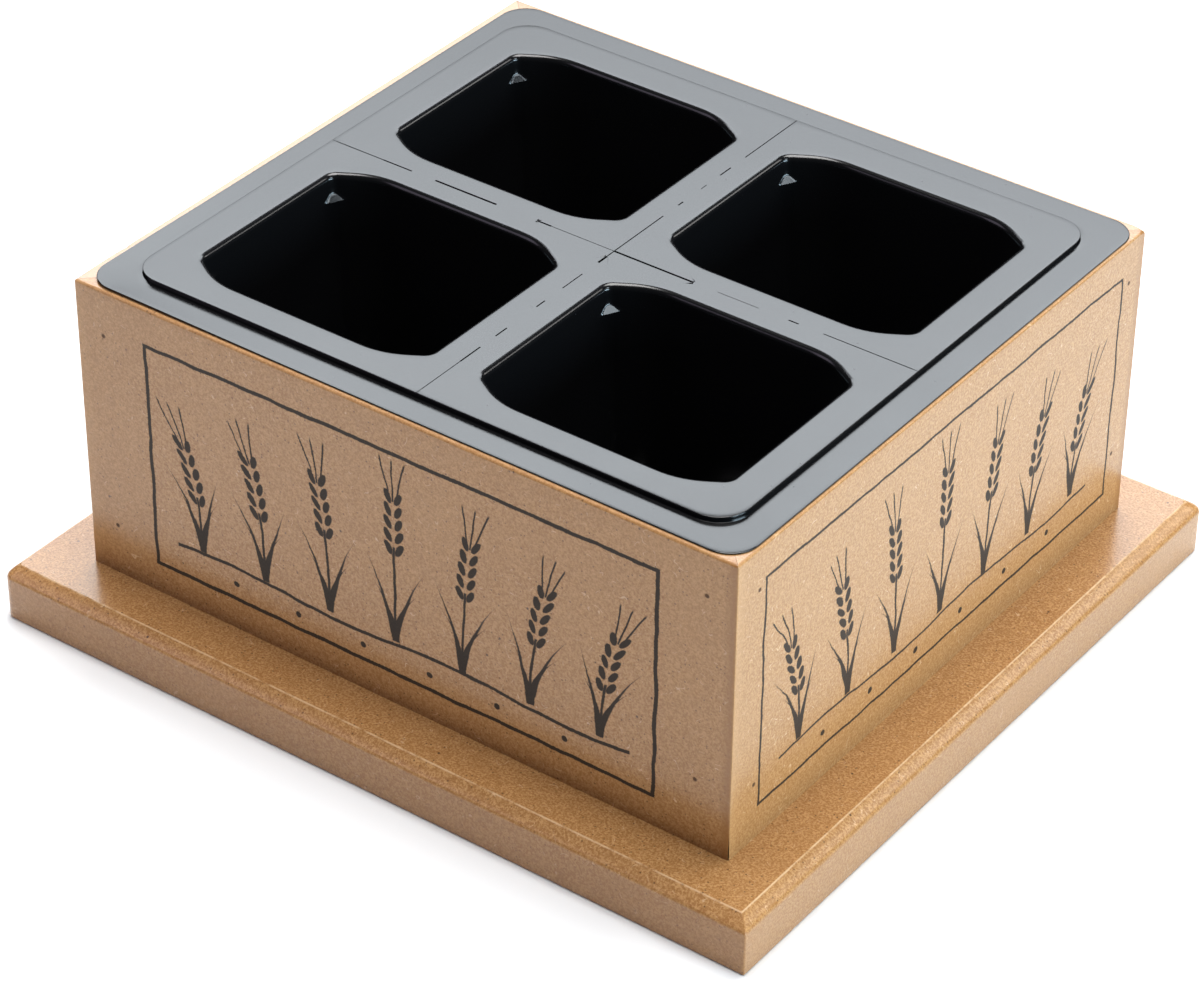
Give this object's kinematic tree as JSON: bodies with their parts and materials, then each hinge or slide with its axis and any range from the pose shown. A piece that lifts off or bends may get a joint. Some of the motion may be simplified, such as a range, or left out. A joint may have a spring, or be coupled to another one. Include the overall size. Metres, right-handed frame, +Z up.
{
  "type": "seedling tray in a fibreboard planter box",
  "caption": "Empty black plastic seedling tray with deep tapered cells, hanging by its flange in a mitred fibreboard planter box on a wider base board.",
  "frame": {"origin": "centre of the base board's underside", "axes": "+Z up, +X along the box's longer side, -Y towards the longer printed wall in the picture"},
  "size_m": [0.1914, 0.1764, 0.0856],
  "materials": {
    "fibreboard": "raw, finely mottled, with a dark ink border printed on the walls",
    "black_plastic": "semi-gloss formed sheet"
  },
  "bodies": {
    "root": {"base_board": "fibreboard", "wall_front": "fibreboard", "wall_right": "fibreboard", "wall_back": "fibreboard", "wall_left": "fibreboard", "cell_tray": "black_plastic"}
  },
  "joints": []
}
